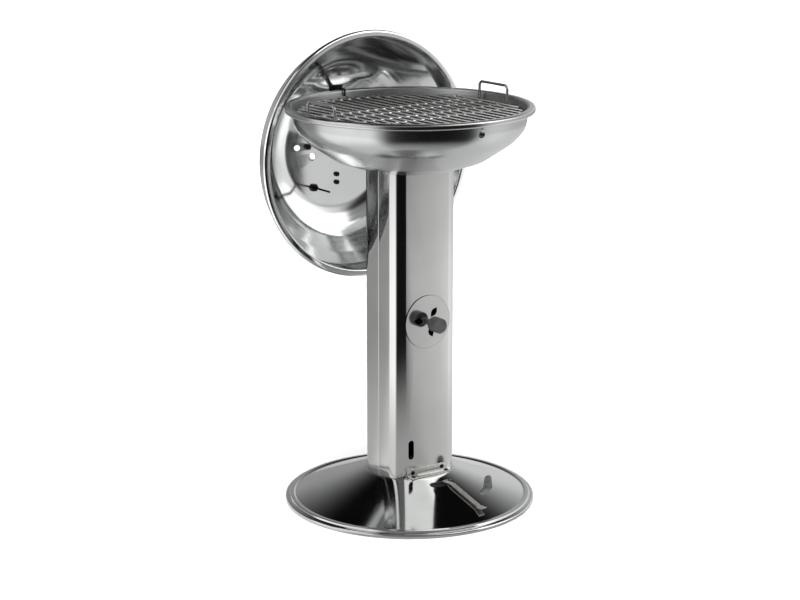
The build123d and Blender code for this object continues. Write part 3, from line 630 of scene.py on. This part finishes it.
for index in range(flute["count"]):
    tool = disc(flute["radius"], k["neck"] - flute["low"], k["knobLength"] - flute["high"], 20)
    fluteTools.append(moved(tool, turn(index * 360 / flute["count"], "Z") @ at(k["knobRadius"] + flute["out"], 0, 0)))
cutAll(knobPiece, [moved(joined(*fluteTools), knobPlace)])
print("regulator made")

# cooking grate: rods over a ring and cross wires, with two wire handles, a little turned on its rests
grate = {"turn": 2.5, "radius": 195.0, "wire": 2.5, "rod": 1.8, "level": 703.8, "count": 20, "margin": 0.9,
         "overhang": 1.5, "weld": 0.02, "crosses": (-66, -25, 25, 66), "crossGap": 0.3,
         "handleHalf": 38.0, "handleTop": 742.0, "handleBend": 8.0}
grateTurn = turn(grate["turn"], "Z")
rodLevel = grate["level"] + grate["wire"] + grate["rod"] + grate["weld"]
pitch = grate["radius"] * 2 / (grate["count"] + grate["margin"])
rods = []
for index in range(grate["count"]):
    x = (index - (grate["count"] - 1) / 2) * pitch
    half = math.sqrt((grate["radius"] + grate["overhang"]) ** 2 - x ** 2)
    rods.append(rodAlong((x, -half, rodLevel), (x, half, rodLevel), grate["rod"], 16))
makePiece("grateRods", moved(joined(*rods), grateTurn), "grate", grateSteel, ["grate_rods"])
makePiece("grateRing", moved(hoop(grate["radius"], grate["wire"], grate["level"]), grateTurn), "grate", grateSteel,
          ["grate_ring"])
crosses = []
for y in grate["crosses"]:
    inner = grate["radius"] - grate["wire"]
    half = math.sqrt(inner ** 2 - (abs(y) + grate["wire"]) ** 2) - grate["crossGap"]
    crosses.append(rodAlong((-half, y, grate["level"]), (half, y, grate["level"]), grate["wire"], 16))
makePiece("grateCrossWires", moved(joined(*crosses), grateTurn), "grate", grateSteel,
          ["grate_cross_wires"])
for side, word in ((-1, "Left"), (1, "Right")):
    x = side * math.sqrt(grate["radius"] ** 2 - grate["handleHalf"] ** 2)
    low, top = grate["level"] + grate["wire"] + grate["weld"], grate["handleTop"] - grate["wire"]
    loop = [(x, -grate["handleHalf"], low), (x, -grate["handleHalf"], top), (x, grate["handleHalf"], top),
            (x, grate["handleHalf"], low)]
    makePiece("grateHandle" + word, moved(bentWire(loop, grate["handleBend"], grate["wire"]), grateTurn), "grate",
              handleSteel, ["grate_handle_" + word.lower()])
print("grate made")

# fire grate low in the bowl
fire = {"radius": 165.0, "wire": 2.5, "rod": 2.0, "level": 651.68, "count": 15, "margin": 0.7, "weld": 0.1}
firePitch = fire["radius"] * 2 / (fire["count"] + fire["margin"])
fireLevel = fire["level"] + fire["wire"] + fire["rod"] + fire["weld"]
fireRods = []
for index in range(fire["count"]):
    x = (index - (fire["count"] - 1) / 2) * firePitch
    half = math.sqrt(fire["radius"] ** 2 - x ** 2)
    fireRods.append(rodAlong((x, -half, fireLevel), (x, half, fireLevel), fire["rod"], 12))
makePiece("fireRods", joined(*fireRods), "frame", fireSteel, ["fire_rods"])
makePiece("fireRing", hoop(fire["radius"], fire["wire"], fire["level"]), "frame", fireSteel,
          ["fire_ring"])
print("fire grate made")

# lid hook: black wire from the plate inside the lid over the bowl's lip
hook = {"level": lidHeight + 109.0, "near": 201.6, "far": 229.4, "low": 709.5, "wire": 1.7, "bend": 3.2,
        "plateBack": 231.0, "plateWidth": 28.0, "plateHeight": 10.0, "plateEdge": 0.4}
hookLine = [(0, hook["far"], hook["level"]), (0, hook["near"], hook["level"]), (0, hook["near"], hook["low"])]
makePiece("lidHook", bentWire(hookLine, hook["bend"], hook["wire"]), "lid", blackSteel, ["lid_hook"])
plate = slab((-hook["plateWidth"] / 2, hook["far"], hook["level"] - hook["plateHeight"] / 2),
             (hook["plateWidth"] / 2, hook["plateBack"], hook["level"] + hook["plateHeight"] / 2), hook["plateEdge"])
makePiece("hookPlate", plate, "lid", blackSteel, ["hook_plate"])
print("hook made")

# lever: bent flat strip out of the foot's slot, with a wider tip
slotLevel = coneHeight((foot["slot"]["inner"] + foot["slot"]["outer"]) / 2) + 0.5
tipLevel = coneHeight(190)
lever = {"rows": [(14, 56.6, 0), (52.5, 56.6, 6), (74, slotLevel, 6), (112, slotLevel, 12),
                  (178, tipLevel + 10, 4), (190, tipLevel + 9, 0)],
         "width": 9.0, "sheet": 2.0, "angle": -82.5, "edge": 0.35, "crease": 25,
         "tip": {"near": 178, "far": 190.5, "half": 7, "low": tipLevel + 7, "edge": 0.6}}
strip = profileLine(lever["rows"])
pulled(strip, (0, lever["width"], 0))
moved(strip, at(0, -lever["width"] / 2, 0))
turnOutward(strip, Vector((0, 0, 1)))
tip = lever["tip"]
tipPlate = slab((tip["near"], -tip["half"], tip["low"]), (tip["far"], tip["half"], tip["low"] + lever["sheet"]),
                tip["edge"])
leverTurn = turn(lever["angle"], "Z")
makePiece("ashLever", moved(strip, leverTurn), "lever", leverSteel, ["ash_lever"],
          wall=lever["sheet"], soften=lever["edge"], addOn=moved(tipPlate, leverTurn), crease=lever["crease"])
print("lever made")

# foot bracket: folded plate, rounded bar along it, pan-head screws with a straight drive slot
bracket = {"half": 44.0, "front": -53.0, "depth": 17.0, "rise": 13.0, "sheet": 1.5, "bend": 1.2, "edge": 0.3,
           "seat": 58.0, "line": -62.4, "bar": 5.0, "barHalf": 29.0, "barTip": 1.5, "screw": 36.0,
           "upperShare": 0.9, "upperRise": 7,
           "head": [(0, 0, 0), (3.8, 0, 0), (3.8, 1.2, 1.0), (2.4, 2.4, 1.2), (0, 2.4, 0)],
           "groove": ((-3, -0.5, 1.5), (3, 0.5, 4)), "grooveTurns": (35, 60)}
b = bracket
deck, upright = b["seat"] + b["sheet"], b["front"] - b["sheet"]
foldRows = [(b["front"] - b["depth"], deck), (upright, deck), (upright, b["seat"] + b["rise"])]
fold = roundedLine([(-b["half"] * mm, y * mm, z * mm) for y, z in foldRows], [0, b["bend"] * mm, 0])
pulled(fold, (b["half"] * 2, 0, 0))
turnOutward(fold, Vector((0, -1, 1)))
makePiece("footBracket", fold, "frame", bracketSteel, ["foot_bracket"], wall=b["sheet"],
          soften=b["edge"])
barTop = rodAlong((-b["barHalf"], b["line"], deck), (b["barHalf"], b["line"], deck), b["bar"], 40, b["barTip"])
flatCut = bmesh.ops.bisect_plane(barTop, geom=barTop.verts[:] + barTop.edges[:] + barTop.faces[:],
                                 plane_co=(0, 0, deck * mm), plane_no=(0, 0, 1), clear_inner=True)
openEdges = [g for g in flatCut["geom_cut"] if isinstance(g, bmesh.types.BMEdge)]
bmesh.ops.contextual_create(barTop, geom=openEdges)
bmesh.ops.recalc_face_normals(barTop, faces=barTop.faces[:])
makePiece("footBar", barTop, "frame", bracketSteel, ["foot_bar"])
screws = []  # each one's place and the turn of its groove
for x in (-b["screw"], b["screw"]):
    screws.append((at(x, b["line"], deck), b["grooveTurns"][0]))
    screws.append((at(x * b["upperShare"], upright, b["seat"] + b["upperRise"]) @ forward, b["grooveTurns"][1]))
heads = [moved(spunSolid(b["head"], 40), spot) for spot, angle in screws]
screwPiece = makePiece("footScrews", joined(*heads), "frame", blackSteel, ["foot_screws"])
cutAll(screwPiece, [moved(slab(*b["groove"]), spot @ turn(angle, "Z")) for spot, angle in screws])
print("bracket made")

# lid outside: handle on two feet, vent damper, thermometer
handle = {"feet": ((0, -59.3), (0, 59.3)), "footHalf": (8, 13), "footEdge": 2.5, "stand": 34.0, "width": 20.0,
          "depth": 12.0, "overhang": 44.0, "round": 0.49, "edge": 3.0}
halfX, halfZ = handle["footHalf"]
footShapes = []
for x, z in handle["feet"]:
    low = (x - halfX, lid["flat"], lidHeight + z - halfZ)
    high = (x + halfX, lid["flat"] + handle["stand"], lidHeight + z + halfZ)
    footShapes.append(slab(low, high, handle["footEdge"], 4))
makePiece("handleFeet", joined(*footShapes), "lid", gripPlastic, ["lid_handle_feet"])
(ax, az), (bx, bz) = handle["feet"]
length = math.hypot(bx - ax, bz - az) + handle["overhang"]
bar = slab((-handle["width"] / 2, 0, -length / 2), (handle["width"] / 2, handle["depth"], length / 2))
ends = [e for e in bar.edges if abs(e.verts[0].co.y - e.verts[1].co.y) > handle["depth"] / 2 * mm]
bmesh.ops.bevel(bar, geom=ends, offset=handle["width"] * handle["round"] * mm, affect="EDGES", segments=10,
                profile=0.5, material=-1)
rims = [e for e in bar.edges if e.is_manifold and e.calc_face_angle() > 1.0]  # the square ones, in radians
bmesh.ops.bevel(bar, geom=rims, offset=handle["edge"] * mm, affect="EDGES", segments=5, profile=0.5, material=-1)
tilt = math.degrees(math.atan2(bx - ax, bz - az))
moved(bar, at((ax + bx) / 2, lid["flat"] + handle["stand"], lidHeight + (az + bz) / 2) @ turn(tilt, "Y"))
makePiece("handleBar", bar, "lid", gripPlastic, ["lid_handle_bar"])

damper = {"radius": 34.0, "near": 232.3, "sheet": 1.0, "turn": 12.0,
          "tab": {"angle": 240, "ring": 29.5, "half": 5, "reach": 11, "sheet": 1.6, "edge": 0.5}}
damperPiece = makePiece("ventDamper", moved(disc(damper["radius"], 0, damper["sheet"], 128),
                                            at(vent["x"], damper["near"], lidHeight + vent["z"]) @ backward),
                        "damper", stripSteel, ["vent_damper"])
cutAll(damperPiece, [ventHole(angle + damper["turn"], damper["near"]) for angle in vent["angles"]])
tab = damper["tab"]
a = math.radians(tab["angle"] + damper["turn"])
tabX, tabZ = vent["x"] + tab["ring"] * math.cos(a), lidHeight + vent["z"] + tab["ring"] * math.sin(a)
tabPlate = slab((tabX - tab["half"], damper["near"], tabZ - tab["sheet"] / 2),
                (tabX + tab["half"], damper["near"] + tab["reach"], tabZ + tab["sheet"] / 2), tab["edge"])
makePiece("damperTab", tabPlate, "damper", stripSteel, [])

dial = {"x": -50.5, "z": -71.7, "steps": 96,
        "case": [(3.05, 0, 0), (9, 0, 0.6), (9, 4, 0.6), (20, 4, 1.2), (20, 14, 1.6), (18.2, 14, 0.6),
                 (18.2, 7, 0.5), (3.05, 7, 0)],
        "face": {"radius": 18.0, "low": 7.02, "high": 7.4, "eye": 3.2},
        "tickCount": 11, "sweep": 130.0, "tick": ((-0.45, 12.8, 7.41), (0.45, 16.6, 7.55))}
dialPlace = at(dial["x"], lid["flat"], lidHeight + dial["z"]) @ backward
makePiece("dialCase", moved(spunSkin(dial["case"], dial["steps"], (0, 0, 1)), dialPlace), "lid", zincSteel,
          ["dial_case"])
face = dial["face"]
facePiece = makePiece("dialFace", moved(disc(face["radius"], face["low"], face["high"], dial["steps"]), dialPlace),
                      "lid", dialPaint, [])
cutAll(facePiece, [moved(disc(face["eye"], 0, 12, 32), dialPlace)])
ticks = []
for index in range(dial["tickCount"]):
    spread = -dial["sweep"] + index * 2 * dial["sweep"] / (dial["tickCount"] - 1)
    ticks.append(moved(slab(*dial["tick"]), dialPlace @ turn(spread + 180, "Z")))
makePiece("dialTicks", joined(*ticks), "lid", dialInk, [])
print("lid fittings made")

# what stays as the frame gives it, with its own finish
finishes = {
    "pan_strap": plainSteel, "ash_pan": plainSteel, "ash_sieve": plainSteel, "ash_valve": plainSteel,
    "column_head": plainSteel, "sieve_rivets": zincSteel, "valve_bolt": zincSteel, "valve_washer": zincSteel,
    "valve_nut": zincSteel, "lever_rivets": zincSteel, "seam_rivets": zincSteel, "bowl_bolts": zincSteel,
    "bowl_nuts": zincSteel, "regulator_shaft": zincSteel, "regulator_washer": zincSteel, "regulator_nut": zincSteel,
    "hook_rivets": blackSteel, "handle_bolts": blackSteel, "handle_nuts": blackSteel, "vent_pivot": blackSteel,
    "vent_nut": blackSteel, "dial_nut": blackSteel, "dial_probe": blackSteel, "dial_pointer": pointerPaint,
}
for name, finish in finishes.items():
    nodes[name].data.materials.clear()
    nodes[name].data.materials.append(finish)
print("frame pieces finished:", len(finishes))

# studio: pale floor under an even light; what the steel mirrors is a ring of cards, white to the left, black on the
# camera's side and grey elsewhere, with a dark ceiling and a canopy over the front that is bright on the right; the
# camera itself sees a pale backdrop
studio = {
    "floor": ("#F6F6F5", "#F8F8F7"), "floorGrain": 250 * mm, "floorSize": 60.0, "cardLift": 1 * mm,
    "cards": [(-180, 0.4), (-150, 0.38), (-136, 0.74), (-60, 1.2), (-42, 1.2), (-36.5, 0.78), (-33, 0.7),
              (-28, 0.008), (58, 0.008), (72, 1.6), (130, 1.5), (139, 0.43), (168, 0.4)],
    "near": 0.5, "nearShare": 0.3, "nearEdge": (0.35, 1.1), "far": 0.62, "farEdge": (1.6, 4.2),
    "wallTop": (0.18, 0.72), "ceiling": 0.004, "canopy": (0.25, 1.9), "canopyRight": (0.42, 0.55),
    "canopyEdge": (-0.3, -0.05), "canopyFoot": (0.2, 0.4), "backdrop": 0.95,
    "boxes": {"boxLeft": {"place": (105, 1.9, 2.6), "size": (1.2, 1.6), "power": 9},
              "boxOverhead": {"place": (-30, 1.9, 2.7), "size": (1.9, 1.9), "power": 16}},
    "boxTarget": (0, 0, 0.3), "sun": {"power": 4.0, "spread": 45, "tilt": (10, -8, 0)},
}


def sideways(azimuth, distance, height):  # azimuth from the front, towards the left
    a = math.radians(azimuth)
    return Vector((-math.sin(a) * distance, -math.cos(a) * distance, height))


def cardRing(tree, way):  # brightness by azimuth round the grill
    parts = addNode(tree, "ShaderNodeSeparateXYZ", {"Vector": way})
    left = addNode(tree, "ShaderNodeMath", {0: parts.outputs["X"], 1: -1.0}, operation="MULTIPLY")
    front = addNode(tree, "ShaderNodeMath", {0: parts.outputs["Y"], 1: -1.0}, operation="MULTIPLY")
    angle = addNode(tree, "ShaderNodeMath", {0: left.outputs[0], 1: front.outputs[0]}, operation="ARCTAN2")
    share = addNode(tree, "ShaderNodeMapRange", {"Value": angle.outputs[0], "From Min": -math.pi,
                                                 "From Max": math.pi})
    ramp = addNode(tree, "ShaderNodeValToRGB", {"Fac": share.outputs["Result"]})
    stops = ramp.color_ramp.elements
    for index, (azimuth, value) in enumerate(studio["cards"]):
        stop = stops[index] if index < 2 else stops.new((azimuth + 180) / 360)
        stop.position = (azimuth + 180) / 360
        stop.color = (value, value, value, 1.0)
    return ramp.outputs["Color"], parts


def softSpan(value, span, low, high):  # what a smooth step from low to high over a span reads
    return {"Value": value, "From Min": span[0], "From Max": span[1], "To Min": low, "To Max": high}


def flatPiece(name, size, height, material):
    bm = bmesh.new()
    bmesh.ops.create_grid(bm, x_segments=1, y_segments=1, size=size / 2)
    bmesh.ops.translate(bm, vec=(0, 0, height), verts=bm.verts[:])
    mesh = bpy.data.meshes.new(name)
    bm.to_mesh(mesh)
    bm.free()
    mesh.materials.append(material)
    piece = bpy.data.objects.new(name, mesh)
    scene.collection.objects.link(piece)
    return piece


smooth = {"interpolation_type": "SMOOTHSTEP"}
floorMaterial, tree, shader, place = startMaterial("floorPaper")
grain = addNode(tree, "ShaderNodeTexNoise", {"Vector": place, "Scale": 1 / studio["floorGrain"]})
paper = addNode(tree, "ShaderNodeValToRGB", {"Fac": grain.outputs["Fac"]})
for index, tint in enumerate(studio["floor"]):
    paper.color_ramp.elements[index].position = noiseSpan[index]
    paper.color_ramp.elements[index].color = linear(tint)
tree.links.new(paper.outputs["Color"], shader.inputs["Base Color"])
shader.inputs["Roughness"].default_value = 0.9
shader.inputs["Specular IOR Level"].default_value = 0.1
floor = flatPiece("floor", studio["floorSize"], 0.0, floorMaterial)
floor.visible_glossy = False

cardMaterial, tree, shader, place = startMaterial("studioCards")
ring, parts = cardRing(tree, place)
radius = addNode(tree, "ShaderNodeVectorMath", {0: place}, operation="LENGTH").outputs["Value"]
fade = addNode(tree, "ShaderNodeMapRange", softSpan(radius, studio["farEdge"], 1.0, studio["far"]), **smooth)
faded = addNode(tree, "ShaderNodeMath", {0: ring, 1: fade.outputs["Result"]}, operation="MULTIPLY")
outer = addNode(tree, "ShaderNodeMapRange", softSpan(radius, studio["nearEdge"], 0.0, 1.0), **smooth)
inner = addNode(tree, "ShaderNodeMath", {0: ring, 1: studio["nearShare"], 2: studio["near"]},
                operation="MULTIPLY_ADD")
glow = addNode(tree, "ShaderNodeMix", {"Factor": outer.outputs["Result"], "A": inner.outputs[0],
                                       "B": faded.outputs[0]})
shader.inputs["Base Color"].default_value = linear("#000000")
shader.inputs["Specular IOR Level"].default_value = 0.0
shader.inputs["Emission Color"].default_value = (1.0, 1.0, 1.0, 1.0)
tree.links.new(glow.outputs["Result"], shader.inputs["Emission Strength"])
cards = flatPiece("cards", studio["floorSize"], studio["cardLift"], cardMaterial)
cards.visible_camera = False
cards.visible_diffuse = False
cards.visible_shadow = False

world = bpy.data.worlds.new("studio")
scene.world = world
world.use_nodes = True
tree = world.node_tree
tree.nodes.clear()
way = addNode(tree, "ShaderNodeTexCoord").outputs["Generated"]
ring, parts = cardRing(tree, way)
x, y, z = (parts.outputs[axis] for axis in "XYZ")
climb = addNode(tree, "ShaderNodeMapRange", softSpan(z, studio["wallTop"], 1.0, 0.0), **smooth)
wall = addNode(tree, "ShaderNodeMath", {0: ring, 1: climb.outputs["Result"]}, operation="MULTIPLY")
facing = addNode(tree, "ShaderNodeMapRange", softSpan(y, studio["canopyEdge"], 1.0, 0.0), **smooth)
raised = addNode(tree, "ShaderNodeMapRange", softSpan(z, studio["canopyFoot"], 0.0, 1.0), **smooth)
fill = addNode(tree, "ShaderNodeMapRange", softSpan(x, studio["canopyRight"], *studio["canopy"]), **smooth)
canopy = addNode(tree, "ShaderNodeMath", {0: facing.outputs["Result"], 1: raised.outputs["Result"]},
                 operation="MULTIPLY")
above = addNode(tree, "ShaderNodeMath", {0: canopy.outputs[0], 1: fill.outputs["Result"], 2: studio["ceiling"]},
                operation="MULTIPLY_ADD")
both = addNode(tree, "ShaderNodeMath", {0: wall.outputs[0], 1: above.outputs[0]}, operation="ADD")
path = addNode(tree, "ShaderNodeLightPath")
seen = addNode(tree, "ShaderNodeMix", {"Factor": path.outputs["Is Camera Ray"], "A": both.outputs["Value"],
                                       "B": studio["backdrop"]})
sky = addNode(tree, "ShaderNodeBackground", {"Color": (1, 1, 1, 1), "Strength": seen.outputs["Result"]})
addNode(tree, "ShaderNodeOutputWorld", {"Surface": sky.outputs["Background"]})

for name, box in studio["boxes"].items():
    lamp = bpy.data.lights.new(name, "AREA")
    lamp.shape = "RECTANGLE"
    lamp.size, lamp.size_y = box["size"]
    lamp.energy = box["power"]
    stand = bpy.data.objects.new(name, lamp)
    stand.location = sideways(*box["place"])
    stand.rotation_euler = (Vector(studio["boxTarget"]) - stand.location).to_track_quat("-Z", "Y").to_euler()
    scene.collection.objects.link(stand)
sun = bpy.data.lights.new("evenLight", "SUN")
sun.energy = studio["sun"]["power"]
sun.angle = math.radians(studio["sun"]["spread"])
sunStand = bpy.data.objects.new("evenLight", sun)
sunStand.rotation_euler = [math.radians(angle) for angle in studio["sun"]["tilt"]]
scene.collection.objects.link(sunStand)
sunStand.visible_glossy = False
print("studio lit")

camera = {"azimuth": -36.0, "distance": 3.582, "height": 1.282, "pitch": 14.31, "lens": 93.25, "yaw": 0.278}
lens = bpy.data.cameras.new("camera")
lens.lens = camera["lens"]
lens.sensor_width = 36.0
eye = bpy.data.objects.new("camera", lens)
eye.location = sideways(-camera["azimuth"], camera["distance"], camera["height"])
eye.rotation_euler = (math.radians(90 - camera["pitch"]), 0, math.radians(camera["azimuth"] + camera["yaw"]))
scene.collection.objects.link(eye)
scene.camera = eye
scene.view_settings.view_transform = "Standard"
scene.view_settings.look = "None"
print("camera set")
